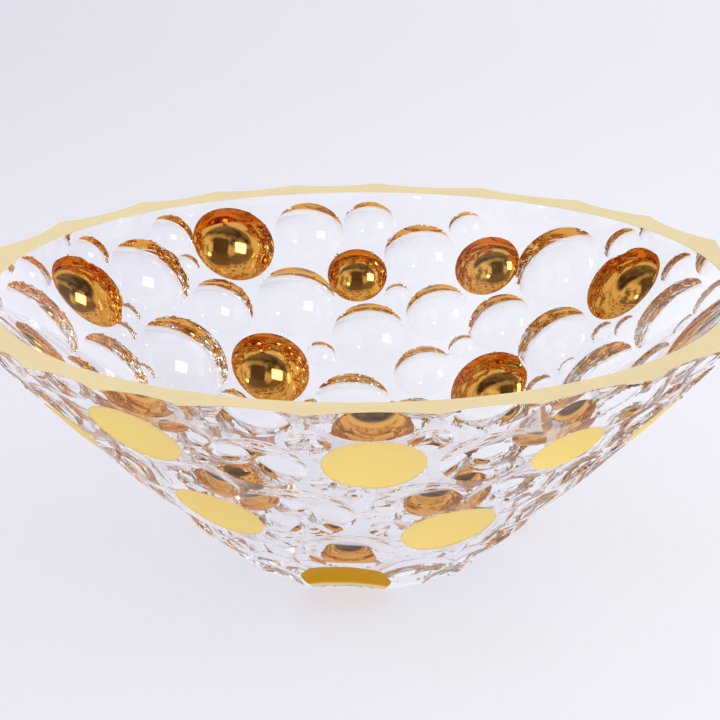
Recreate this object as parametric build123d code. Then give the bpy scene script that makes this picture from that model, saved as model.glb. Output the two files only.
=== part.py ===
from build123d import *
import math
import os

# Art glass bowl: one heavy clear glass body with round lens cuts all over the
# outside, and a thin fired-on gilding on the rim and in 21 of the cuts.
# Millimetres, +Z up, origin at the centre of the foot, foot on z = 0.
# Bearings are degrees from the -Y (front) side, turning towards +X.

os.makedirs("parts", exist_ok=True)

# ---------------------------------------------------------------- main sizes
RIM_RADIUS = 130.0        # outside of the rim at its cusps
MOUTH_RADIUS = 117.6      # inside edge of the rim
HEIGHT = 89.2             # foot to the top of the rim gilding
FOOT_RADIUS = 39.6        # sharp foot corner before rounding
FOOT_ROUND = 2.0          # rounding between foot and wall
WALL_SAGITTA = 1.9        # outward bow of the outer wall
FLOOR_TOP = 10.5          # inside floor height
FLOOR_ROUND = 16.0        # rounding between inside floor and inner wall
GILT = 0.15               # modelled thickness of the gilding
GILT_FOOT_GAP = 0.25      # the lowest gilding stops this far above the foot

REPEATS = 3               # the cut pattern repeats every 120 degrees
CUT_CURVE = 1.88          # radius of the cut's curve / outline radius

# one sector of lens cuts: name, bearing, slant distance below the rim plane,
# outline radius, gilded
U = MOUTH_RADIUS
CUTS = [
    ("gilt_lens_upper_1", 1.6, 0.251, 0.128, True),
    ("gilt_lens_upper_2", 34.6, 0.280, 0.1010, True),
    ("gilt_lens_upper_3", 60.6, 0.336, 0.0905, True),
    ("gilt_lens_upper_4", 83.9, 0.203, 0.127, True),
    ("gilt_lens_middle_1", 21.5, 0.677, 0.125, True),
    ("gilt_lens_middle_2", 85.4, 0.632, 0.122, True),
    ("gilt_lens_lower_1", 113.7, 1.016, 0.118, True),
    ("c01", 9.4, 0.128, 0.057, False),
    ("c02", 20.2, 0.243, 0.135, False),
    ("c03", 40.9, 0.155, 0.052, False),
    ("c04", 48.6, 0.264, 0.108, False),
    ("c05", 58.4, 0.160, 0.078, False),
    ("c06", 69.3, 0.186, 0.105, False),
    ("c07", 94.4, 0.250, 0.037, False),
    ("c08", 94.8, 0.142, 0.068, False),
    ("c09", 103.6, 0.260, 0.130, False),
    ("c10", 112.7, 0.139, 0.057, False),
    ("c11", 10.8, 0.481, 0.120, False),
    ("c12", 27.3, 0.461, 0.098, False),
    ("c13", 42.6, 0.452, 0.096, False),
    ("c14", 52.2, 0.401, 0.038, False),
    ("c15", 58.0, 0.541, 0.110, False),
    ("c16", 74.0, 0.419, 0.120, False),
    ("c17", 91.0, 0.407, 0.098, False),
    ("c18", 107.3, 0.541, 0.146, False),
    ("c19", 114.0, 0.358, 0.037, False),
    ("c20", 118.9, 0.406, 0.039, False),
    ("c21", 5.7, 0.634, 0.048, False),
    ("c22", 34.3, 0.560, 0.042, False),
    ("c23", 42.8, 0.655, 0.088, False),
    ("c24", 70.4, 0.603, 0.046, False),
    ("c25", 62.8, 0.785, 0.118, False),
    ("c26", 116.9, 0.793, 0.120, False),
    ("c27", 20.0, 0.929, 0.110, False),
    ("c28", 41.8, 0.852, 0.110, False),
    ("c29", 104.4, 0.856, 0.050, False),
    ("c30", 89.4, 0.858, 0.096, False),
    ("c31", 61.5, 1.000, 0.096, False),
    ("c32", 38.5, 1.035, 0.072, False),
    ("c33", 81.0, 1.035, 0.082, False),
    ("c34", 96.2, 0.935, 0.045, False),
    ("c35", 100.2, 0.726, 0.054, False),
    ("c36", 105.6, 0.765, 0.032, False),
    ("c37", 75.0, 0.800, 0.055, False),
    ("c38", 50.5, 0.800, 0.042, False),
    ("c39", 76.0, 0.880, 0.060, False),
    ("c40", 7.5, 0.745, 0.035, False),
    ("c41", 2.0, 0.540, 0.032, False),
]
# small departures of single lenses from the exact repeat: bearing, slant
SHIFTS = {
    "gilt_lens_upper_1_b": (1.2, -0.008),
    "gilt_lens_upper_1_c": (-1.1, -0.003),
    "gilt_lens_upper_1_a": (0.3, 0.003),
    "gilt_lens_middle_2_b": (-0.6, 0.0),
    "gilt_lens_middle_2_c": (1.5, -0.014),
    "gilt_lens_middle_1_a": (-0.6, 0.0),
    "gilt_lens_upper_2_a": (0.0, 0.006),
    "gilt_lens_upper_4_c": (0.2, 0.006),
}

# rim row: the cusps between neighbouring cuts, and how far each cut bites in
RIM_CUSPS = [-7.0, 9.5, 23.5, 40.5, 57.5, 70.5, 83.5, 96.8, 113.0]
RIM_BITE_RADIUS = [1.071, 1.074, 1.070, 1.070, 1.075, 1.075, 1.074, 1.070]
RIM_CUT_SLANT = -0.075    # a rim cut's centre lies this far above the rim

# ------------------------------------------------------- outer wall geometry
RUN = RIM_RADIUS - FOOT_RADIUS
SLANT = math.hypot(RUN, HEIGHT)
DIR_R, DIR_Z = -RUN / SLANT, -HEIGHT / SLANT      # down the outer wall
OUT_R, OUT_Z = HEIGHT / SLANT, -RUN / SLANT       # away from the glass
ARC_R = (SLANT ** 2 / 4 + WALL_SAGITTA ** 2) / (2 * WALL_SAGITTA)
MID_R = (RIM_RADIUS + FOOT_RADIUS) / 2
MID_Z = HEIGHT / 2
ARC_CR = MID_R - OUT_R * (ARC_R - WALL_SAGITTA)
ARC_CZ = MID_Z - OUT_Z * (ARC_R - WALL_SAGITTA)


def wall_point(slant):
    """Point and outward normal (radius, z) of the bowed outer wall."""
    r = RIM_RADIUS + DIR_R * slant
    z = HEIGHT + DIR_Z * slant
    x = slant - SLANT / 2
    bow = math.sqrt(ARC_R ** 2 - x * x) - (ARC_R - WALL_SAGITTA)
    r, z = r + OUT_R * bow, z + OUT_Z * bow
    return r, z, (r - ARC_CR) / ARC_R, (z - ARC_CZ) / ARC_R


def turned(r, z, bearing):
    t = math.radians(bearing)
    return (r * math.sin(t), -r * math.cos(t), z)


def lens_cut(bearing, slant, radius):
    """One lens cut: centre of its curve, the curve's radius, how much wider
    its crosswise curve is (which keeps the outline round on the cone), and
    the directions out of the glass and along the wall."""
    a = radius * U
    rho = CUT_CURVE * a
    off = math.sqrt(rho * rho - a * a)
    r, z, nr, nz = wall_point(slant * U)
    wide = 1 / (1 / rho - nr / r) - rho
    t = math.radians(bearing)
    out = (nr * math.sin(t), -nr * math.cos(t), nz)
    along = (-nz * math.sin(t), nz * math.cos(t), nr)
    return turned(r + nr * off, z + nz * off, bearing), rho, wide, out, along


def rim_sphere(b0, b1, bite):
    """Sphere through both rim cusps and through the bottom of the bite."""
    r, z, nr, nz = wall_point(RIM_CUT_SLANT * U)
    half = math.radians((b1 - b0) / 2)
    cusp = (RIM_RADIUS * math.cos(half), RIM_RADIUS * math.sin(half), HEIGHT)
    deep = (bite * U, 0.0, HEIGHT)

    def gap(q):
        c = (r + nr * q, 0.0, z + nz * q)
        return math.dist(c, cusp) - math.dist(c, deep)

    lo, hi = 1.0, 400.0
    for _ in range(80):
        mid = (lo + hi) / 2
        if gap(lo) * gap(mid) <= 0:
            hi = mid
        else:
            lo = mid
    q = (lo + hi) / 2
    rho = math.dist((r + nr * q, 0.0, z + nz * q), cusp)
    return turned(r + nr * q, z + nz * q, (b0 + b1) / 2), rho


cuts = []                 # (name, gilded, shape data)
for k in range(REPEATS):
    turn = 360.0 / REPEATS * k
    for name, b, s, a, g in CUTS:
        full_name = f"{name}_{'abc'[k]}"
        db, ds = SHIFTS.get(full_name, (0.0, 0.0))
        cuts.append((full_name, g, lens_cut(b + turn + db, s + ds, a)))
    for i, bite in enumerate(RIM_BITE_RADIUS):
        c, rho = rim_sphere(RIM_CUSPS[i] + turn, RIM_CUSPS[i + 1] + turn, bite)
        cuts.append((f"rim{i}_{'abc'[k]}", False, (c, rho, 0.0, None, None)))


def cutter(data, thin=0.0):
    """The solid that a cut takes away; thin makes its curve smaller."""
    c, rho, wide, out, along = data
    rho = rho - thin
    if not wide:
        # poles laid along the line to the bowl axis so no seam crosses a cut
        turn = math.degrees(math.atan2(c[1], c[0]))
        return Pos(*c) * Rotation(0, 0, turn) * Sphere(rho)
    h, x = rho * math.sin(math.radians(75)), wide + rho * math.cos(math.radians(75))
    with BuildPart() as p:
        with BuildSketch(Plane.XZ):
            with BuildLine():
                ThreePointArc((x, -h), (wide + rho, 0), (x, h))
                Polyline((x, h), (0, h), (0, -h), (x, -h))
            make_face()
        revolve(axis=Axis.Z)
    origin = tuple(q + wide * w for q, w in zip(c, out))
    # the seam faces away from the glass
    return Plane(origin=origin, x_dir=out, z_dir=along).location * p.part


# ------------------------------------------------------------- uncut blank
def blank():
    """The bowl before the lenses are cut: one revolved section."""
    mr, mz, _, _ = wall_point(SLANT / 2)
    r_floor = MOUTH_RADIUS - RUN / HEIGHT * (HEIGHT - FLOOR_TOP)
    with BuildPart() as p:
        with BuildSketch(Plane.XZ) as s:
            with BuildLine():
                Line((0, 0), (FOOT_RADIUS, 0))
                ThreePointArc((FOOT_RADIUS, 0), (mr, mz), (RIM_RADIUS, HEIGHT))
                Line((RIM_RADIUS, HEIGHT), (MOUTH_RADIUS, HEIGHT))
                Line((MOUTH_RADIUS, HEIGHT), (r_floor, FLOOR_TOP))
                Line((r_floor, FLOOR_TOP), (0, FLOOR_TOP))
                Line((0, FLOOR_TOP), (0, 0))
            make_face()
            for r, z, rad in ((FOOT_RADIUS, 0, FOOT_ROUND), (r_floor, FLOOR_TOP, FLOOR_ROUND)):
                fillet([v for v in s.vertices()
                        if abs(v.X - r) < 0.01 and abs(v.Y - z) < 0.01], rad)
        revolve(axis=Axis.Z)
    return p.part


full = blank()
cutters = [cutter(d) for _, _, d in cuts]

# ------------------------------------------------------------- glass and rim
cut_body = full - cutters
below = Pos(0, 0, (HEIGHT - GILT) / 2) * Cylinder(RIM_RADIUS * 1.2, HEIGHT - GILT)
above = Pos(0, 0, HEIGHT - GILT / 2) * Cylinder(RIM_RADIUS * 1.2, GILT)
glass = cut_body & below
rim = cut_body & above


def solid_of(shape):
    got = sorted(shape.solids(), key=lambda x: x.volume)
    return got[-1]


glass = solid_of(glass)
rim = solid_of(rim)
glass.label = "glass_bowl"
rim.label = "rim_gilding"
export_step(glass, "parts/glass_bowl.step")
export_step(rim, "parts/rim_gilding.step")
print("glass", glass.volume, glass.is_valid, len(glass.faces()), glass.bounding_box())
print("rim", rim.volume, rim.is_valid, len(rim.faces()))

# ------------------------------------------------------------- gilded lenses
above_foot = Pos(0, 0, GILT_FOOT_GAP + HEIGHT / 2) * Cylinder(RIM_RADIUS * 1.2, HEIGHT)
for i, (name, g, d) in enumerate(cuts):
    if not g:
        continue
    film = (cutters[i] - cutter(d, GILT)) & full
    near = [cutters[j] for j, (_, _, e) in enumerate(cuts)
            if j != i and math.dist(d[0], e[0]) < d[1] + e[1] + 12]
    if near:
        film = film - near
    if "lower" in name:
        film = film & above_foot
    film = solid_of(film)
    film.label = name
    export_step(film, f"parts/{name}.step")
    print(name, round(film.volume, 2), film.is_valid, len(film.faces()))
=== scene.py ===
import math

import bpy
import numpy as np
from mathutils import Matrix, Vector


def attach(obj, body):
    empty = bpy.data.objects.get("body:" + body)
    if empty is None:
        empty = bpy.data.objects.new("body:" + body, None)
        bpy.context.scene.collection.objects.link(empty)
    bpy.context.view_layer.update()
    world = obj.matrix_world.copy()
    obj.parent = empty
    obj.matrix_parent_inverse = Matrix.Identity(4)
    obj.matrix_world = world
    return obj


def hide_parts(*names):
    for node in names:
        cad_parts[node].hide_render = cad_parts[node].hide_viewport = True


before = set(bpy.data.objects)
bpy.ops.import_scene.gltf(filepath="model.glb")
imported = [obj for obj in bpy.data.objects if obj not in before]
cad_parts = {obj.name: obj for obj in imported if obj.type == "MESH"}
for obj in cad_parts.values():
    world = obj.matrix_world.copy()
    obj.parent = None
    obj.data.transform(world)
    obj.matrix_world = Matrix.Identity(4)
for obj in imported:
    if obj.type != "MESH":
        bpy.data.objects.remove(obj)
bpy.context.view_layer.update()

MM = 0.001

# ------------------------------------------------------------------ the form
# The same dimensions and lens table as the CAD model, in millimetres.
RIM_RADIUS = 130.0
MOUTH_RADIUS = 117.6
HEIGHT = 89.2
FOOT_RADIUS = 39.6
FOOT_ROUND = 2.0
WALL_SAGITTA = 1.9
FLOOR_TOP = 10.5
FLOOR_ROUND = 16.0
GILT = 0.15
CUT_CURVE = 1.88
U = MOUTH_RADIUS
CUTS = [
    ("gilt_lens_upper_1", 1.6, 0.251, 0.128, True),
    ("gilt_lens_upper_2", 34.6, 0.280, 0.1010, True),
    ("gilt_lens_upper_3", 60.6, 0.336, 0.0905, True),
    ("gilt_lens_upper_4", 83.9, 0.203, 0.127, True),
    ("gilt_lens_middle_1", 21.5, 0.677, 0.125, True),
    ("gilt_lens_middle_2", 85.4, 0.632, 0.122, True),
    ("gilt_lens_lower_1", 113.7, 1.016, 0.118, True),
    ("c01", 9.4, 0.128, 0.057, False),
    ("c02", 20.2, 0.243, 0.135, False),
    ("c03", 40.9, 0.155, 0.052, False),
    ("c04", 48.6, 0.264, 0.108, False),
    ("c05", 58.4, 0.160, 0.078, False),
    ("c06", 69.3, 0.186, 0.105, False),
    ("c07", 94.4, 0.250, 0.037, False),
    ("c08", 94.8, 0.142, 0.068, False),
    ("c09", 103.6, 0.260, 0.130, False),
    ("c10", 112.7, 0.139, 0.057, False),
    ("c11", 10.8, 0.481, 0.120, False),
    ("c12", 27.3, 0.461, 0.098, False),
    ("c13", 42.6, 0.452, 0.096, False),
    ("c14", 52.2, 0.401, 0.038, False),
    ("c15", 58.0, 0.541, 0.110, False),
    ("c16", 74.0, 0.419, 0.120, False),
    ("c17", 91.0, 0.407, 0.098, False),
    ("c18", 107.3, 0.541, 0.146, False),
    ("c19", 114.0, 0.358, 0.037, False),
    ("c20", 118.9, 0.406, 0.039, False),
    ("c21", 5.7, 0.634, 0.048, False),
    ("c22", 34.3, 0.560, 0.042, False),
    ("c23", 42.8, 0.655, 0.088, False),
    ("c24", 70.4, 0.603, 0.046, False),
    ("c25", 62.8, 0.785, 0.118, False),
    ("c26", 116.9, 0.793, 0.120, False),
    ("c27", 20.0, 0.929, 0.110, False),
    ("c28", 41.8, 0.852, 0.110, False),
    ("c29", 104.4, 0.856, 0.050, False),
    ("c30", 89.4, 0.858, 0.096, False),
    ("c31", 61.5, 1.000, 0.096, False),
    ("c32", 38.5, 1.035, 0.072, False),
    ("c33", 81.0, 1.035, 0.082, False),
    ("c34", 96.2, 0.935, 0.045, False),
    ("c35", 100.2, 0.726, 0.054, False),
    ("c36", 105.6, 0.765, 0.032, False),
    ("c37", 75.0, 0.800, 0.055, False),
    ("c38", 50.5, 0.800, 0.042, False),
    ("c39", 76.0, 0.880, 0.060, False),
    ("c40", 7.5, 0.745, 0.035, False),
    ("c41", 2.0, 0.540, 0.032, False),
]
# small departures of single lenses from the exact repeat: bearing, slant
SHIFTS = {
    "gilt_lens_upper_1_b": (1.2, -0.008),
    "gilt_lens_upper_1_c": (-1.1, -0.003),
    "gilt_lens_upper_1_a": (0.3, 0.003),
    "gilt_lens_middle_2_b": (-0.6, 0.0),
    "gilt_lens_middle_2_c": (1.5, -0.014),
    "gilt_lens_middle_1_a": (-0.6, 0.0),
    "gilt_lens_upper_2_a": (0.0, 0.006),
    "gilt_lens_upper_4_c": (0.2, 0.006),
}
RIM_CUSPS = [-7.0, 9.5, 23.5, 40.5, 57.5, 70.5, 83.5, 96.8, 113.0]
RIM_BITE_RADIUS = [1.071, 1.074, 1.070, 1.070, 1.075, 1.075, 1.074, 1.070]
RIM_CUT_SLANT = -0.075

RUN = RIM_RADIUS - FOOT_RADIUS
SLANT = math.hypot(RUN, HEIGHT)
DIR_R, DIR_Z = -RUN / SLANT, -HEIGHT / SLANT
OUT_R, OUT_Z = HEIGHT / SLANT, -RUN / SLANT
ARC_R = (SLANT ** 2 / 4 + WALL_SAGITTA ** 2) / (2 * WALL_SAGITTA)
ARC_CR = (RIM_RADIUS + FOOT_RADIUS) / 2 - OUT_R * (ARC_R - WALL_SAGITTA)
ARC_CZ = HEIGHT / 2 - OUT_Z * (ARC_R - WALL_SAGITTA)


def wall_point(slant):
    r = RIM_RADIUS + DIR_R * slant
    z = HEIGHT + DIR_Z * slant
    x = slant - SLANT / 2
    bow = math.sqrt(ARC_R ** 2 - x * x) - (ARC_R - WALL_SAGITTA)
    r, z = r + OUT_R * bow, z + OUT_Z * bow
    return r, z, (r - ARC_CR) / ARC_R, (z - ARC_CZ) / ARC_R


def turned(r, z, bearing):
    t = math.radians(bearing)
    return (r * math.sin(t), -r * math.cos(t), z)


def lens_cut(bearing, slant, radius):
    a = radius * U
    rho = CUT_CURVE * a
    off = math.sqrt(rho * rho - a * a)
    r, z, nr, nz = wall_point(slant * U)
    wide = 1 / (1 / rho - nr / r) - rho
    t = math.radians(bearing)
    out = (nr * math.sin(t), -nr * math.cos(t), nz)
    along = (-nz * math.sin(t), nz * math.cos(t), nr)
    return turned(r + nr * off, z + nz * off, bearing), rho, wide, out, along


def rim_sphere(b0, b1, bite):
    r, z, nr, nz = wall_point(RIM_CUT_SLANT * U)
    half = math.radians((b1 - b0) / 2)
    cusp = (RIM_RADIUS * math.cos(half), RIM_RADIUS * math.sin(half), HEIGHT)
    deep = (bite * U, 0.0, HEIGHT)

    def gap(q):
        c = (r + nr * q, 0.0, z + nz * q)
        return math.dist(c, cusp) - math.dist(c, deep)

    lo, hi = 1.0, 400.0
    for _ in range(80):
        mid = (lo + hi) / 2
        if gap(lo) * gap(mid) <= 0:
            hi = mid
        else:
            lo = mid
    q = (lo + hi) / 2
    rho = math.dist((r + nr * q, 0.0, z + nz * q), cusp)
    return turned(r + nr * q, z + nz * q, (b0 + b1) / 2), rho


SHAPES = []                                   # name, gilded, centre, radius, extra width, out, along
for k in range(3):
    turn = 120.0 * k
    for name, b, s, a, g in CUTS:
        full_name = f"{name}_{'abc'[k]}"
        db, ds = SHIFTS.get(full_name, (0.0, 0.0))
        SHAPES.append((full_name, g, *lens_cut(b + turn + db, s + ds, a)))
    for i, bite in enumerate(RIM_BITE_RADIUS):
        c, rho = rim_sphere(RIM_CUSPS[i] + turn, RIM_CUSPS[i + 1] + turn, bite)
        SHAPES.append((f"rim{i}_{'abc'[k]}", False, c, rho, 0.0, (0.0, 0.0, 0.0), (0.0, 0.0, 1.0)))
SC = np.array([q[2] for q in SHAPES])
SR = np.array([q[3] for q in SHAPES])
SW = np.array([q[4] for q in SHAPES])
SA = np.array([q[6] for q in SHAPES])
SO = SC + SW[:, None] * np.array([q[5] for q in SHAPES])     # a point on each cut's own axis
NS = len(SHAPES)


def cut_distance(p, idx):
    """signed distance of p from the surface of cut idx and its gradient"""
    q = p - SO[idx]
    al = SA[idx]
    v = (q * al).sum(-1)
    w = q - v[..., None] * al
    m = np.sqrt((w * w).sum(-1)) + 1e-9
    x = m - SW[idx]
    h = np.sqrt(x * x + v * v) + 1e-9
    grad = ((x / m)[..., None] * w + v[..., None] * al) / h[..., None]
    return h - SR[idx], grad


# --------------------------------------------- outside profile, top to bottom
TOP = HEIGHT - GILT
FC_R = ARC_CR + math.sqrt((ARC_R - FOOT_ROUND) ** 2 - (FOOT_ROUND - ARC_CZ) ** 2)
_a0 = math.atan2(TOP - ARC_CZ, math.sqrt(ARC_R ** 2 - (TOP - ARC_CZ) ** 2))
_a1 = math.atan2(FOOT_ROUND - ARC_CZ, FC_R - ARC_CR)
LEN_WALL = ARC_R * (_a0 - _a1)
LEN_FOOT = FOOT_ROUND * (_a1 + math.pi / 2)
FLAT_END = 26.0
LEN_FLAT = FC_R - FLAT_END
LEN_ALL = LEN_WALL + LEN_FOOT + LEN_FLAT


def _profile(t):
    """radius, z, outward normal and the inward direction along which cuts are measured"""
    if t <= LEN_WALL:
        a = _a0 - t / ARC_R
        r, z = ARC_CR + ARC_R * math.cos(a), ARC_CZ + ARC_R * math.sin(a)
        n = a
    elif t <= LEN_WALL + LEN_FOOT:
        a = _a1 - (t - LEN_WALL) / FOOT_ROUND
        r, z = FC_R + FOOT_ROUND * math.cos(a), FOOT_ROUND + FOOT_ROUND * math.sin(a)
        n = a
    else:
        r, z, n = FC_R - (t - LEN_WALL - LEN_FOOT), 0.0, -math.pi / 2
    if t < 16:
        w = t / 16
        w = w * w * (3 - 2 * w)
        d = (1 - w) * 0.0 + w * (_a0 - 16 / ARC_R)
    elif t < LEN_WALL - 18:
        d = n
    else:
        w = min(1.0, (t - (LEN_WALL - 18)) / 34)
        w = w * w * (3 - 2 * w)
        d = (1 - w) * (_a0 - (LEN_WALL - 18) / ARC_R) + w * (-math.pi / 2)
    return r, z, math.cos(n), math.sin(n), -math.cos(d), -math.sin(d)


_tt = np.linspace(0, LEN_ALL, 40001)
_pp = np.array([_profile(t) for t in _tt])


def on_blank(th, t):
    """points on the uncut blank and the unit directions into the glass"""
    r, z, dr, dz = (np.interp(t, _tt, _pp[:, i]) for i in (0, 1, 4, 5))
    L = np.hypot(dr, dz)
    dr, dz = dr / L, dz / L
    s, c = np.sin(th), -np.cos(th)
    return np.stack([r * s, r * c, z], -1), np.stack([dr * s, dr * c, dz], -1)


def cut_depth(p, d, idx):
    """signed depth of cut idx below the blank at p, along d; idx -1 is the uncut wall"""
    t = np.zeros(len(p))
    for _ in range(7):
        f, g = cut_distance(p + d * t[:, None], idx)
        t = t - f / np.maximum((g * d).sum(-1), 0.25)
    f, g = cut_distance(p + d * t[:, None], idx)
    t = np.where((np.abs(f) < 1e-4) & ((g * d).sum(-1) > 0.1), t, -1e3)
    return np.where(idx < 0, 0.0, t)


# ------------------------------------------------------ rings of sample points
STEP = 1.05


def rows_of(t_list):
    ring = []
    for j, t in enumerate(t_list):
        r = np.interp(t, _tt, _pp[:, 0])
        n = max(24, 3 * int(round(2 * math.pi * r / (3 * STEP))))
        ring.append((t, n, 0.5 * (j % 2)))
    return ring


_ts = list(np.linspace(0, LEN_WALL, int(round(LEN_WALL / (STEP * 0.87))) + 1))
_ts += list(LEN_WALL + LEN_FOOT * np.array([0.33, 0.66, 1.0]))
_ts += list(LEN_WALL + LEN_FOOT + np.linspace(0, LEN_FLAT, int(round(LEN_FLAT / STEP)) + 1)[1:])
RINGS = rows_of(_ts)


def zipper(a_th, a_id, b_th, b_id):
    """triangles between two closed rings of rising bearing, facing so that the first ring is above"""
    na, nb = len(a_th), len(b_th)
    i = j = 0
    tris = []
    a_ext = np.append(a_th, a_th[0] + 2 * math.pi)
    b_ext = np.append(b_th, b_th[0] + 2 * math.pi)
    while i < na or j < nb:
        if i >= na:
            step_a = False
        elif j >= nb:
            step_a = True
        else:
            step_a = a_ext[i + 1] + a_ext[i] < b_ext[j + 1] + b_ext[j]
        if step_a:
            tris.append((a_id[i], a_id[(i + 1) % na], b_id[j % nb]))
            i += 1
        else:
            tris.append((a_id[i % na], b_id[(j + 1) % nb], b_id[j]))
            j += 1
    return tris


TH, TT, ring_ids = [], [], []
count = 0
for t, n, off in RINGS:
    th = (np.arange(n) + off) * 2 * math.pi / n
    TH.append(th)
    TT.append(np.full(n, t))
    ring_ids.append(np.arange(count, count + n))
    count += n
tris = []
for j in range(len(RINGS) - 1):
    tris += zipper(TH[j], ring_ids[j], TH[j + 1], ring_ids[j + 1])
TH = np.concatenate(TH)
TT = np.concatenate(TT)
tris = np.array(tris)

# ------------------------------------------ which cut is deepest at each point
P0, D0 = on_blank(TH, TT)
best = np.zeros(len(TH))
label = np.full(len(TH), -1)
for i in range(NS):
    inside = np.where(((P0 - SC[i]) ** 2).sum(-1) < (SR[i] + 0.5 * SW[i] + 1.0) ** 2)[0]
    dep = cut_depth(P0[inside], D0[inside], np.full(len(inside), i))
    m = dep > best[inside]
    best[inside[m]] = dep[m]
    label[inside[m]] = i

# ------------------------------------- edges that cross from one cut to another
e_all = np.concatenate([tris[:, [0, 1]], tris[:, [1, 2]], tris[:, [2, 0]]])
e_sort = np.sort(e_all, 1)
e_uni, e_inv = np.unique(e_sort, axis=0, return_inverse=True)
e_inv = e_inv.reshape(3, -1).T
cross = label[e_uni[:, 0]] != label[e_uni[:, 1]]
ce = e_uni[cross]
la, lb = label[ce[:, 0]], label[ce[:, 1]]
tha, thb = TH[ce[:, 0]], TH[ce[:, 1]]
thb = thb + 2 * math.pi * np.round((tha - thb) / (2 * math.pi))
ta, tb = TT[ce[:, 0]], TT[ce[:, 1]]
lo, hi = np.zeros(len(ce)), np.ones(len(ce))
for _ in range(34):
    mid = (lo + hi) / 2
    p, d = on_blank(tha + (thb - tha) * mid, ta + (tb - ta) * mid)
    g = cut_depth(p, d, la) - cut_depth(p, d, lb)
    pos = g > 0
    lo = np.where(pos, mid, lo)
    hi = np.where(pos, hi, mid)
w = (lo + hi) / 2
c_th, c_t = tha + (thb - tha) * w, ta + (tb - ta) * w
p, d = on_blank(c_th, c_t)
c_dep = np.maximum(cut_depth(p, d, la), cut_depth(p, d, lb))
c_dep = np.where((la < 0) | (lb < 0), 0.0, c_dep)
c_pos = p + d * c_dep[:, None]
cross_id = np.full(len(e_uni), -1)
cross_id[cross] = len(TH) + np.arange(len(ce))

pos = P0 + D0 * best[:, None]
verts = np.vstack([pos, c_pos])

# short edges beside a crossing collapse onto the crossing
near = {}
wl = np.minimum(w, 1 - w)
for q in np.argsort(wl):
    if wl[q] > 0.22:
        break
    v = ce[q, 0] if w[q] < 0.5 else ce[q, 1]
    # points on the top edge stay on the top edge
    if TT[v] == 0.0 and c_t[q] > 1e-9:
        continue
    if v not in near:
        near[v] = len(TH) + q
remap = np.arange(len(verts))
for v, q in near.items():
    remap[v] = q

faces, face_label, extra = [], [], []
tl = label[tris]
same = (tl[:, 0] == tl[:, 1]) & (tl[:, 1] == tl[:, 2])
for f, l in zip(tris[same], tl[same][:, 0]):
    faces.append(tuple(f))
    face_label.append(l)


def junction(tri, labs):
    """the point inside a triangle where its three cuts meet"""
    th = TH[tri].copy()
    th += 2 * math.pi * np.round((th[0] - th) / (2 * math.pi))
    t = TT[tri]
    b = np.array([1 / 3, 1 / 3])

    def g(b):
        w = np.array([b[0], b[1], 1 - b[0] - b[1]])
        p, d = on_blank(np.array([w @ th]), np.array([w @ t]))
        f = np.array([cut_depth(p, d, np.array([l]))[0] for l in labs])
        return np.array([f[0] - f[1], f[1] - f[2]]), p[0], d[0], f

    for _ in range(12):
        v, p, d, f = g(b)
        h = 1e-4
        J = np.stack([(g(b + [h, 0])[0] - v) / h, (g(b + [0, h])[0] - v) / h], 1)
        try:
            st = np.linalg.solve(J, -v)
        except np.linalg.LinAlgError:
            break
        L = np.abs(st).max()
        b = b + st * min(1.0, 0.2 / (L + 1e-12))
        b = np.clip(b, 0.05, 0.9)
        if b.sum() > 0.95:
            b *= 0.95 / b.sum()
        if L < 1e-7:
            break
    v, p, d, f = g(b)
    return p + d * max(0.0, np.median(f))


for f, l, e in zip(tris[~same], tl[~same], e_inv[~same]):
    if l[0] != l[1] and l[1] != l[2] and l[2] != l[0]:
        j = len(verts) + len(extra)
        extra.append(junction(f, l))
        c01, c12, c20 = cross_id[e[0]], cross_id[e[1]], cross_id[e[2]]
        for v, a, b, lab in ((f[0], c01, c20, l[0]), (f[1], c12, c01, l[1]), (f[2], c20, c12, l[2])):
            faces.append((v, a, j))
            faces.append((v, j, b))
            face_label += [lab, lab]
    else:
        # turn the triangle so that its odd vertex is first
        k = 0 if l[1] == l[2] else (1 if l[2] == l[0] else 2)
        f, l, e = np.roll(f, -k), np.roll(l, -k), np.roll(e, -k)
        c01, c20 = cross_id[e[0]], cross_id[e[2]]
        faces.append((f[0], c01, c20))
        face_label.append(l[0])
        # split the four-sided rest along its shorter diagonal
        d1 = np.linalg.norm(verts[c01] - verts[f[2]])
        d2 = np.linalg.norm(verts[f[1]] - verts[c20])
        if d1 < d2:
            faces += [(c01, f[1], f[2]), (c01, f[2], c20)]
        else:
            faces += [(c01, f[1], c20), (f[1], f[2], c20)]
        face_label += [l[1], l[1]]
if extra:
    verts = np.vstack([verts, np.array(extra)])
    remap = np.concatenate([remap, np.arange(len(remap), len(verts))])
faces = remap[np.array(faces)]
face_label = np.array(face_label)
keep = (faces[:, 0] != faces[:, 1]) & (faces[:, 1] != faces[:, 2]) & (faces[:, 2] != faces[:, 0])
faces, face_label = faces[keep], face_label[keep]
# a collapse can lay two triangles back to back: both go
key = np.sort(faces, 1)
_, inv, cnt = np.unique(key, axis=0, return_inverse=True, return_counts=True)
keep = cnt[inv.reshape(-1)] == 1
faces, face_label = faces[keep], face_label[keep]


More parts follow.
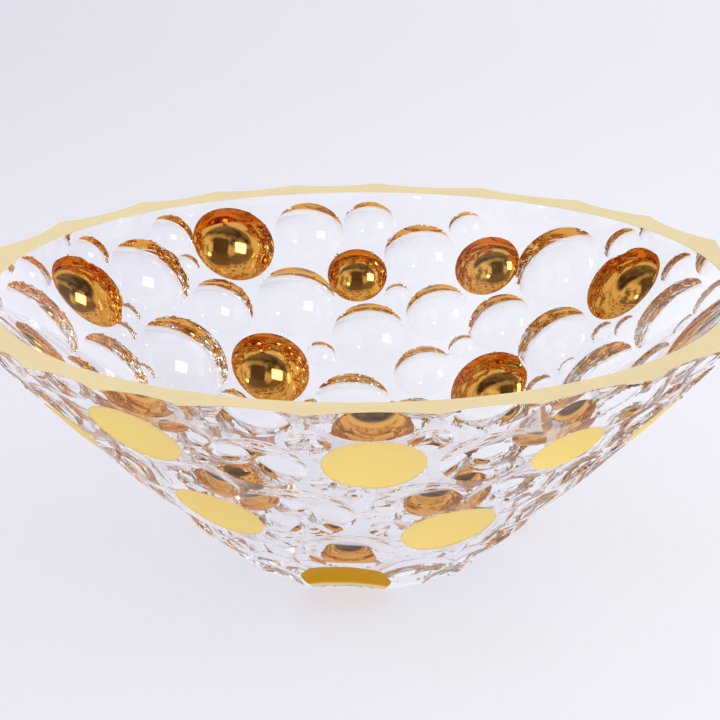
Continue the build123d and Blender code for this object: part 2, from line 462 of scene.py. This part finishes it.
def surface_normal(points, labels):
    """outward glass normals: into the hollow of a cut, else the blank's own"""
    r = np.hypot(points[:, 0], points[:, 1])
    z = points[:, 2]
    er = np.stack([points[:, 0] / r, points[:, 1] / r], -1)
    wall = np.stack([(r - ARC_CR) / ARC_R, (z - ARC_CZ) / ARC_R], -1)
    foot = np.stack([(r - FC_R) / FOOT_ROUND, (z - FOOT_ROUND) / FOOT_ROUND], -1)
    tang_z = FOOT_ROUND + FOOT_ROUND * math.sin(_a1)
    nn = np.where((z < tang_z)[:, None], foot, wall)
    nn = np.where(((r < FC_R) & (z < 0.5))[:, None], np.array([0.0, -1.0]), nn)
    nn = nn / np.linalg.norm(nn, axis=1, keepdims=True)
    out = np.stack([nn[:, 0] * er[:, 0], nn[:, 0] * er[:, 1], nn[:, 1]], -1)
    cutn = -cut_distance(points, labels)[1]
    return np.where((labels < 0)[:, None], out, cutn)


corner_normal = surface_normal(verts[faces].reshape(-1, 3), np.repeat(face_label, 3)).reshape(-1, 3, 3)

# ------------------------------------------------- inner wall, floor, top, foot
SLOPE = RUN / HEIGHT
CONE_A = math.atan2(HEIGHT, RUN)
floor_r = MOUTH_RADIUS - SLOPE * (HEIGHT - FLOOR_TOP)
tang = FLOOR_ROUND * math.tan(CONE_A / 2)
FLC_R, FLC_Z = floor_r - tang, FLOOR_TOP + FLOOR_ROUND
inner = []                                    # r, z, normal (r, z) into the hollow
cone_n = (-math.sin(CONE_A), math.cos(CONE_A))
z_tan = FLC_Z - FLOOR_ROUND * math.cos(CONE_A)
for z in np.linspace(TOP, z_tan, 30):
    inner.append((MOUTH_RADIUS - SLOPE * (HEIGHT - z), z, *cone_n))
for q in np.linspace(1, 0, 13)[1:]:
    a = CONE_A * q
    inner.append((FLC_R + FLOOR_ROUND * math.sin(a), FLC_Z - FLOOR_ROUND * math.cos(a),
                  -math.sin(a), math.cos(a)))
for r in np.linspace(FLC_R, 0, 9)[1:-1]:
    inner.append((r, FLOOR_TOP, 0.0, 1.0))

all_v, all_f, all_n, all_l = [verts], [faces], [corner_normal], [face_label]
base = len(verts)


def revolve_rows(rows, counts, start):
    """rings of (r, z, nr, nz); returns vertices, their normals and bearings"""
    vs, ns, ids, ths = [], [], [], []
    c = start
    for (r, z, nr, nz), n in zip(rows, counts):
        th = np.arange(n) * 2 * math.pi / n
        s, co = np.sin(th), -np.cos(th)
        vs.append(np.stack([r * s, r * co, np.full(n, z)], -1))
        ns.append(np.stack([nr * s, nr * co, np.full(n, nz)], -1))
        ids.append(np.arange(c, c + n))
        ths.append(th)
        c += n
    return np.concatenate(vs), np.concatenate(ns), ids, ths


in_counts = [480 if r > 60 else (240 if r > 25 else (96 if r > 12 else 48)) for r, *_ in inner]
iv, inn, iids, iths = revolve_rows(inner, in_counts, base)
n_map = {}
normals_of = np.zeros((base + len(iv), 3))
normals_of[base:] = inn
itri = []
for j in range(len(inner) - 1):
    for a, b, c in zipper(iths[j], iids[j], iths[j + 1], iids[j + 1]):
        itri.append((a, c, b))                # faces the other way from the outside
centre_i = base + len(iv)
last = iids[-1]
for q in range(len(last)):
    itri.append((last[q], last[(q + 1) % len(last)], centre_i))
itri = np.array(itri)
normals_of = np.vstack([normals_of, [[0, 0, 1.0]]])
all_v += [iv, np.array([[0, 0, FLOOR_TOP]])]
all_f.append(itri)
all_n.append(normals_of[itri])
all_l.append(np.full(len(itri), -2))

# top: between the scalloped outer edge and the inner lip
use = np.unique(faces)
edge_ids = use[np.abs(verts[use][:, 2] - TOP) < 1e-6]
e_th = np.arctan2(verts[edge_ids][:, 0], -verts[edge_ids][:, 1]) % (2 * math.pi)
o = np.argsort(e_th)
edge_ids, e_th = edge_ids[o], e_th[o]
ttri = np.array([(a, c, b) for a, b, c in zipper(e_th, edge_ids, iths[0], iids[0])])
ttri = ttri[:, [0, 1, 2]]
all_f.append(ttri)
all_n.append(np.tile(np.array([0, 0, 1.0]), (len(ttri), 3, 1)))
all_l.append(np.full(len(ttri), -3))

# foot: a fan inside the last ring
foot_ids = ring_ids[-1]
foot_c = centre_i + 1
all_v.append(np.array([[0, 0, 0.0]]))
ftri = np.array([(foot_ids[q], foot_c, foot_ids[(q + 1) % len(foot_ids)]) for q in range(len(foot_ids))])
all_f.append(ftri)
all_n.append(np.tile(np.array([0, 0, -1.0]), (len(ftri), 3, 1)))
all_l.append(np.full(len(ftri), -4))

GV = np.concatenate(all_v)
GF = np.concatenate(all_f)
GN = np.concatenate(all_n)
GL = np.concatenate(all_l)
# make every face turn the way its normals point
fn = np.cross(GV[GF[:, 1]] - GV[GF[:, 0]], GV[GF[:, 2]] - GV[GF[:, 0]])
flip = (fn * GN.sum(1)).sum(1) < 0
GF[flip] = GF[flip][:, ::-1]
GN[flip] = GN[flip][:, ::-1]


def make_mesh(name, v, f, n, mat_index=None):
    used, inv = np.unique(f, return_inverse=True)
    v = v[used]
    f = inv.reshape(-1, 3)
    me = bpy.data.meshes.new(name)
    me.vertices.add(len(v))
    me.vertices.foreach_set("co", (v * MM).astype(np.float32).ravel())
    me.loops.add(len(f) * 3)
    me.loops.foreach_set("vertex_index", f.astype(np.int32).ravel())
    me.polygons.add(len(f))
    me.polygons.foreach_set("loop_start", (np.arange(len(f)) * 3).astype(np.int32))
    me.polygons.foreach_set("use_smooth", np.ones(len(f), bool))
    if mat_index is not None:
        me.polygons.foreach_set("material_index", mat_index.astype(np.int32))
    me.update(calc_edges=True)
    me.validate()
    if n is not None and len(me.polygons) == len(f):
        me.normals_split_custom_set(n.reshape(-1, 3).astype(np.float32).tolist())
    ob = bpy.data.objects.new(name, me)
    bpy.context.scene.collection.objects.link(ob)
    return ob


glass = make_mesh("glass_body", GV, GF, GN)

# ------------------------------------------------------------- gilded lenses
gilded = []
SINK = 0.02                                   # how far a gilding bites into the glass
for i, (name, g, *_) in enumerate(SHAPES):
    if not g:
        continue
    f = faces[face_label == i]
    used, inv = np.unique(f, return_inverse=True)
    f = inv.reshape(-1, 3)
    p = verts[used]
    n = -cut_distance(p, np.full(len(p), i))[1]        # out of the glass
    inner_p, outer_p = p - n * SINK, p + n * (GILT - 0.02)
    if "lower" in name:
        inner_p[:, 2] = np.maximum(inner_p[:, 2], 0.30)
        outer_p[:, 2] = np.maximum(outer_p[:, 2], 0.30)
    t = np.cross(p[f[:, 1]] - p[f[:, 0]], p[f[:, 2]] - p[f[:, 0]])
    bad = (t * n[f[:, 0]]).sum(1) < 0
    f[bad] = f[bad][:, ::-1]
    m = len(p)
    # border edges run once; they close the sides
    ed = np.concatenate([f[:, [0, 1]], f[:, [1, 2]], f[:, [2, 0]]])
    fwd = {tuple(e) for e in ed.tolist()}
    rim_e = np.array([e for e in ed.tolist() if (e[1], e[0]) not in fwd])
    side = np.concatenate([np.stack([rim_e[:, 1], rim_e[:, 0], rim_e[:, 0] + m], 1),
                           np.stack([rim_e[:, 1], rim_e[:, 0] + m, rim_e[:, 1] + m], 1)])
    # outer face keeps its turn, inner face is reversed
    fo = f
    fi = f[:, ::-1] + m
    V = np.vstack([outer_p, inner_p])
    F = np.vstack([fo, fi, side])
    sn = np.cross(V[side[:, 1]] - V[side[:, 0]], V[side[:, 2]] - V[side[:, 0]])
    sn /= np.linalg.norm(sn, axis=1, keepdims=True) + 1e-12
    N = np.concatenate([n[fo], -n[fi - m], np.repeat(sn[:, None], 3, 1)])
    mats = np.concatenate([np.zeros(len(fo)), np.ones(len(fi)), np.zeros(len(side))])
    ob = make_mesh(name.replace("gilt_lens", "gilded_disc"), V, F, N, mats)
    gilded.append((ob, name))

# ------------------------------------------------------------- rim gilding
SS = [j for j in range(NS) if SHAPES[j][0].startswith("rim")]


def rim_outline(th, z):
    """radius of the cut outer wall at height z"""
    x = math.sqrt(ARC_R ** 2 - (z - ARC_CZ) ** 2)
    r = np.full(len(th), ARC_CR + x)
    e = np.stack([np.sin(th), -np.cos(th)], -1)
    for j in SS:
        c, rho = SC[j], SR[j]
        b = e @ c[:2]
        disc = b * b - (c[0] ** 2 + c[1] ** 2 + (z - c[2]) ** 2 - rho ** 2)
        hit = b - np.sqrt(np.maximum(disc, 0))
        hit = np.where((disc > 0) & (hit > 0.5 * MOUTH_RADIUS), hit, 1e9)
        r = np.minimum(r, hit)
    return r


cusp_th = np.radians([(q + 120 * k) % 360 for k in range(3) for q in RIM_CUSPS[:-1]])
th_r = np.unique(np.round(np.concatenate([np.arange(0, 2 * math.pi, 2 * math.pi / 1200), cusp_th]), 9))
nr_ = len(th_r)
bands = [                                     # radius of each line across the band, z
    (lambda: np.full(nr_, MOUTH_RADIUS - 0.15), TOP - SINK),
    (lambda: np.full(nr_, MOUTH_RADIUS - 0.02), HEIGHT - 0.05),
    (lambda: np.full(nr_, MOUTH_RADIUS + 0.08), HEIGHT),
    (lambda: MOUTH_RADIUS + 0.25 * (rim_outline(th_r, HEIGHT) - MOUTH_RADIUS), HEIGHT),
    (lambda: MOUTH_RADIUS + 0.5 * (rim_outline(th_r, HEIGHT) - MOUTH_RADIUS), HEIGHT),
    (lambda: MOUTH_RADIUS + 0.75 * (rim_outline(th_r, HEIGHT) - MOUTH_RADIUS), HEIGHT),
    (lambda: rim_outline(th_r, HEIGHT) - 0.10, HEIGHT),
    (lambda: rim_outline(th_r, HEIGHT), HEIGHT - 0.05),
    (lambda: rim_outline(th_r, TOP) - 0.01, TOP - SINK),
]
V, F, M, NB = [], [], [], len(bands)
for fr, z in bands:
    r = fr()
    V.append(np.stack([r * np.sin(th_r), -r * np.cos(th_r), np.full(nr_, z)], -1))
V = np.concatenate(V)
for b in range(NB):
    b2 = (b + 1) % NB
    i0 = np.arange(nr_)
    i1 = (i0 + 1) % nr_
    q = np.concatenate([np.stack([b * nr_ + i0, b2 * nr_ + i0, b2 * nr_ + i1], 1),
                        np.stack([b * nr_ + i0, b2 * nr_ + i1, b * nr_ + i1], 1)])
    F.append(q)
    M.append(np.full(len(q), 1 if b == NB - 1 else 0))
F, M = np.concatenate(F), np.concatenate(M)
fn = np.cross(V[F[:, 1]] - V[F[:, 0]], V[F[:, 2]] - V[F[:, 0]])
fn /= np.linalg.norm(fn, axis=1, keepdims=True) + 1e-12
up = (M == 0) & (np.abs(fn[:, 2]) > 0.9) & (fn[:, 2] < 0)
if up.sum() > 10:
    F = F[:, ::-1]
    fn = -fn
rim = make_mesh("rim_band", V, F, np.repeat(fn[:, None], 3, 1), M)

# ------------------------------------------------------------------ materials


class Nodes:
    def __init__(self, tree):
        self.t = tree
        tree.nodes.clear()

    def new(self, kind, **inputs):
        n = self.t.nodes.new(kind)
        for k, v in inputs.items():
            if k in ("operation", "data_type", "blend_type", "interpolation_type", "noise_dimensions", "feature"):
                setattr(n, k, v)
        return n

    def put(self, socket, v):
        if isinstance(v, bpy.types.NodeSocket):
            self.t.links.new(v, socket)
        else:
            socket.default_value = v

    def math(self, op, a, b=0.0, c=0.0, clamp=False):
        n = self.t.nodes.new("ShaderNodeMath")
        n.operation = op
        n.use_clamp = clamp
        for s, v in zip(n.inputs, (a, b, c)):
            self.put(s, v)
        return n.outputs[0]

    def vmath(self, op, a, b=(0, 0, 0)):
        n = self.t.nodes.new("ShaderNodeVectorMath")
        n.operation = op
        self.put(n.inputs[0], a)
        self.put(n.inputs[1], b)
        return n.outputs["Value"] if op in ("DOT_PRODUCT", "LENGTH") else n.outputs["Vector"]

    def smooth(self, x, lo, hi, to0=0.0, to1=1.0):
        n = self.t.nodes.new("ShaderNodeMapRange")
        n.interpolation_type = "SMOOTHSTEP"
        self.put(n.inputs[0], x)
        for q, v in zip(n.inputs[1:5], (lo, hi, to0, to1)):
            q.default_value = v
        return n.outputs[0]

    def mix(self, f, a, b):
        n = self.t.nodes.new("ShaderNodeMix")
        n.data_type = "RGBA"
        self.put(n.inputs[0], f)
        self.put(n.inputs[6], a)
        self.put(n.inputs[7], b)
        return n.outputs[2]

    def noise(self, vec, scale, detail=3.0, rough=0.5):
        n = self.t.nodes.new("ShaderNodeTexNoise")
        self.put(n.inputs["Vector"], vec)
        n.inputs["Scale"].default_value = scale
        n.inputs["Detail"].default_value = detail
        n.inputs["Roughness"].default_value = rough
        return n.outputs[0]

    def bump(self, height, strength, distance):
        n = self.t.nodes.new("ShaderNodeBump")
        n.inputs["Strength"].default_value = strength
        n.inputs["Distance"].default_value = distance
        self.put(n.inputs["Height"], height)
        return n.outputs[0]


def material(name):
    m = bpy.data.materials.new(name)
    m.use_nodes = True
    k = Nodes(m.node_tree)
    out = m.node_tree.nodes.new("ShaderNodeOutputMaterial")
    co = m.node_tree.nodes.new("ShaderNodeTexCoord").outputs["Object"]
    return m, k, out, co


def srgb(r, g, b):
    f = [(v / 255) / 12.92 if v / 255 <= 0.04045 else ((v / 255 + 0.055) / 1.055) ** 2.4 for v in (r, g, b)]
    return (*f, 1.0)


def principled(k, out):
    p = k.t.nodes.new("ShaderNodeBsdfPrincipled")
    k.t.links.new(p.outputs[0], out.inputs[0])
    return p


# clear glass
m_glass, k, out, co = material("clear_crystal")
p = principled(k, out)
p.inputs["Base Color"].default_value = (0.985, 0.992, 1.0, 1)
p.inputs["Roughness"].default_value = 0.0
p.inputs["IOR"].default_value = 1.52
p.inputs["Transmission Weight"].default_value = 1.0
k.put(p.inputs["Normal"], k.bump(k.noise(co, 70.0, 2.0, 0.4), 0.12, 0.0002))

# gilding, seen through the glass: an amber mirror
m_mirror, k, out, co = material("gilding_through_glass")
p = principled(k, out)
tone = k.noise(co, 160.0, 4.0, 0.6)
k.put(p.inputs["Base Color"], k.mix(tone, (0.76, 0.345, 0.045, 1), (0.92, 0.46, 0.10, 1)))
p.inputs["Metallic"].default_value = 1.0
p.inputs["Roughness"].default_value = 0.06
k.put(p.inputs["Normal"], k.bump(k.noise(co, 220.0, 3.0, 0.5), 0.10, 0.0001))

# gilding on the air side: matte pale yellow
m_matte, k, out, co = material("gilding_matte")
p = principled(k, out)
blot = k.noise(co, 90.0, 5.0, 0.6)
fine = k.noise(co, 1800.0, 3.0, 0.6)
k.put(p.inputs["Base Color"], k.mix(blot, srgb(254, 218, 112), srgb(252, 227, 138)))
p.inputs["Metallic"].default_value = 0.15
k.put(p.inputs["Roughness"], k.smooth(fine, 0.3, 0.7, 0.42, 0.58))
k.put(p.inputs["Normal"], k.bump(fine, 0.15, 0.00003))

# the lowest gilding faces the floor: painted shade, a deep yellow copy of the matte gilding for the disc turned
# down into the floor's shade, pale along its foot
m_low_painted_shade, k, out, co = material("gilding_matte_low_painted_shade")
p = principled(k, out)
blot = k.noise(co, 90.0, 5.0, 0.6)
fine = k.noise(co, 1800.0, 3.0, 0.6)
sep = k.t.nodes.new("ShaderNodeSeparateXYZ")
k.put(sep.inputs[0], co)
# painted shade: this deep yellow stands for the shade on the disc that faces the floor
deep = k.mix(blot, srgb(205, 149, 2), srgb(216, 162, 4))
k.put(p.inputs["Base Color"], k.mix(k.smooth(sep.outputs[2], 0.0012, 0.0024), srgb(246, 226, 170), deep))
p.inputs["Specular IOR Level"].default_value = 0.06
p.inputs["Metallic"].default_value = 0.15
k.put(p.inputs["Roughness"], k.smooth(fine, 0.3, 0.7, 0.42, 0.58))
k.put(p.inputs["Normal"], k.bump(fine, 0.15, 0.00003))

# rim gilding: matte cream gold
m_rim, k, out, co = material("gilding_rim_matte")
p = principled(k, out)
blot = k.noise(co, 60.0, 5.0, 0.6)
fine = k.noise(co, 1500.0, 3.0, 0.6)
k.put(p.inputs["Base Color"], k.mix(blot, srgb(241, 217, 157), srgb(249, 228, 175)))
p.inputs["Metallic"].default_value = 0.15
k.put(p.inputs["Roughness"], k.smooth(fine, 0.3, 0.7, 0.40, 0.55))
k.put(p.inputs["Normal"], k.bump(fine, 0.12, 0.00003))

glass.data.materials.append(m_glass)
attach(glass, "root")
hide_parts("glass_bowl")
for ob, node in gilded:
    # the lowest disc takes the copy of the matte gilding with painted shade
    ob.data.materials.append(m_low_painted_shade if "lower" in node else m_matte)
    ob.data.materials.append(m_mirror)
    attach(ob, "root")
    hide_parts(node)
rim.data.materials.append(m_rim)
rim.data.materials.append(m_mirror)
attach(rim, "root")
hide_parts("rim_gilding")

# ----------------------------------------------------------- floor and light
bpy.ops.mesh.primitive_grid_add(x_subdivisions=8, y_subdivisions=8, size=12, location=(0, 0, 0))
floor = bpy.context.object
floor.name = "floor"
m_floor, k, out, co = material("pale_floor")
p = principled(k, out)
# painted light: the tabletop glows a little, slightly more to the right and a little less towards the back; the
# glow also lightens the bowl's shadow on it
k.put(p.inputs["Base Color"], k.mix(k.noise(co, 3.0, 2.0, 0.5), (0.300, 0.297, 0.310, 1), (0.315, 0.312, 0.325, 1)))
p.inputs["Roughness"].default_value = 0.55
p.inputs["Specular IOR Level"].default_value = 0.15
sep = k.t.nodes.new("ShaderNodeSeparateXYZ")
k.put(sep.inputs[0], co)
# painted light: the floor's glow, brighter to the right as if lit from that side
painted_floor_glow = k.mix(k.smooth(sep.outputs[0], -0.45, 0.35), (0.466, 0.462, 0.536, 1), (0.620, 0.612, 0.652, 1))
k.put(p.inputs["Emission Color"], k.mix(k.smooth(sep.outputs[1], -0.05, 0.90, 0.0, 0.16), painted_floor_glow, (0, 0, 0, 1)))
p.inputs["Emission Strength"].default_value = 1.0
floor.data.materials.append(m_floor)

world = bpy.data.worlds.new("studio")
bpy.context.scene.world = world
world.use_nodes = True
k = Nodes(world.node_tree)
out = world.node_tree.nodes.new("ShaderNodeOutputWorld")
bg = world.node_tree.nodes.new("ShaderNodeBackground")
k.t.links.new(bg.outputs[0], out.inputs[0])
tc = world.node_tree.nodes.new("ShaderNodeTexCoord").outputs["Generated"]
lp = world.node_tree.nodes.new("ShaderNodeLightPath")


def unit(*v):
    v = Vector(v)
    return tuple(v.normalized())


def direction(azimuth, elevation):
    """azimuth from +Y (behind the bowl) towards +X, in degrees"""
    a, e = math.radians(azimuth), math.radians(elevation)
    return Vector((math.sin(a) * math.cos(e), math.cos(a) * math.cos(e), math.sin(e)))


soft_white = (0.93, 0.945, 1.0, 1)
# diffuse light: an even pale dome, a little brighter from the right
side = k.smooth(k.vmath("DOT_PRODUCT", tc, unit(0.8, -0.3, 0.5)), -1, 1, 0.72, 1.30)
# light that comes down through the bowl is evened up with the open floor
through = k.math("GREATER_THAN", lp.outputs["Transmission Depth"], 0.5)
side = k.math("MULTIPLY", side, k.smooth(through, 0.0, 1.0, 1.0, 1.20))
dome = k.mix(k.math("DIVIDE", side, 3.0), (0, 0, 0, 1), (2.79, 2.835, 3.0, 1))
# mirror light: a pale room, dimmer high up and to the right of the camera
up = k.vmath("DOT_PRODUCT", tc, (0, 0, 1))
east = k.vmath("DOT_PRODUCT", tc, (1, 0, 0))
south = k.vmath("DOT_PRODUCT", tc, (0, -1, 0))
pale = k.smooth(up, 0.74, 0.96, 1.04, 0.50)
pale = k.math("MULTIPLY", pale, k.smooth(east, 0.05, 0.60, 1.0, 0.55))
pale = k.math("ADD", k.math("MULTIPLY", pale, k.smooth(south, -0.25, 0.05, 0.0, 1.0)),
              k.smooth(south, -0.25, 0.05, 0.95, 0.0))
clutter = k.smooth(k.noise(tc, 3.4, 3.0, 0.6), 0.40, 0.60, 0.20, 1.10)
far = k.math("MAXIMUM", k.smooth(south, 0.0, 0.3), k.smooth(up, 0.35, 0.60))
pale = k.mix(far, pale, k.math("MULTIPLY", pale, clutter))
overhead = k.math("MULTIPLY", k.smooth(up, 0.24, 0.56), k.smooth(south, 0.15, -0.10))
pale = k.math("MULTIPLY", pale, k.smooth(overhead, 0.0, 1.0, 1.0, 0.16))
room = k.mix(pale, (0, 0, 0, 1), (0.955, 0.965, 1.0, 1))


def window(col, azimuth, elevation, half, turn, strength, tall=1.0, soft=0.06, tint=(1.0, 0.98, 0.95)):
    w0 = direction(azimuth, elevation)
    e1 = w0.cross(Vector((0, 0, 1))).normalized()
    e2 = w0.cross(e1).normalized()
    a = math.radians(turn)
    f1, f2 = e1 * math.cos(a) + e2 * math.sin(a), e2 * math.cos(a) - e1 * math.sin(a)
    d0 = k.vmath("DOT_PRODUCT", tc, tuple(w0))
    inv = k.math("DIVIDE", 1.0, k.math("MAXIMUM", d0, 0.05))
    u = k.math("ABSOLUTE", k.math("MULTIPLY", k.vmath("DOT_PRODUCT", tc, tuple(f1)), inv))
    v = k.math("ABSOLUTE", k.math("MULTIPLY", k.vmath("DOT_PRODUCT", tc, tuple(f2)), inv))
    m = k.math("MAXIMUM", u, k.math("DIVIDE", v, tall))
    inside = k.smooth(m, half * (1 - soft), half * (1 + soft), 1.0, 0.0)
    inside = k.math("MULTIPLY", inside, k.math("GREATER_THAN", d0, 0.05))
    return k.mix(inside, col, tuple(strength * q for q in tint) + (1,))


room = window(room, 180.0, 52.0, 0.30, 0.0, 0.09, 1.5, 0.10, (1.0, 0.85, 0.75))
room = window(room, 183.0, 18.0, 0.42, 0.0, 0.14, 0.9, 0.15, (1.0, 0.88, 0.80))
room = window(room, 120.0, 12.0, 0.60, 0.0, 0.20, 0.45, 0.15, (1.0, 0.9, 0.85))
room = window(room, 117.0, 40.0, 0.21, 45.0, 9.0)
room = window(room, 210.0, 28.0, 0.07, 0.0, 7.0)
# reflections and refractions look into the room; all other light is the even dome
polished = k.math("MAXIMUM", lp.outputs["Is Glossy Ray"], lp.outputs["Is Transmission Ray"])
first = k.math("LESS_THAN", lp.outputs["Diffuse Depth"], 0.5)
seen = k.mix(k.math("MULTIPLY", polished, first), dome, room)
seen = k.mix(lp.outputs["Is Camera Ray"], seen, (0.83, 0.85, 0.93, 1))
k.put(bg.inputs[0], seen)
bg.inputs[1].default_value = 1.0

sc = bpy.context.scene
sc.view_settings.view_transform = "Standard"
sc.view_settings.look = "None"
sc.cycles.max_bounces = 24
sc.cycles.transmission_bounces = 20
sc.cycles.glossy_bounces = 12
sc.cycles.diffuse_bounces = 4
sc.cycles.transparent_max_bounces = 16
sc.cycles.caustics_refractive = True
sc.cycles.caustics_reflective = True
sc.cycles.sample_clamp_indirect = 8.0

# --------------------------------------------------------------------- camera
cam_data = bpy.data.cameras.new("camera")
cam = bpy.data.objects.new("camera", cam_data)
bpy.context.scene.collection.objects.link(cam)
cam_data.sensor_width = 36
cam_data.lens = 2940.3 / 720 * 36
cam_data.clip_start = 0.01
ELEV, PITCH, ROLL, DIST, X0 = 16.3945, 17.864, -0.28, 8.0, -0.002
cam.matrix_world = (
    Matrix.Translation(Vector((X0 * U * MM, -DIST * math.cos(math.radians(ELEV)) * U * MM,
                               (HEIGHT + DIST * math.sin(math.radians(ELEV)) * U) * MM)))
    @ Matrix.Rotation(math.radians(90 - PITCH), 4, "X")
    @ Matrix.Rotation(math.radians(ROLL), 4, "Z"))
bpy.context.scene.camera = cam
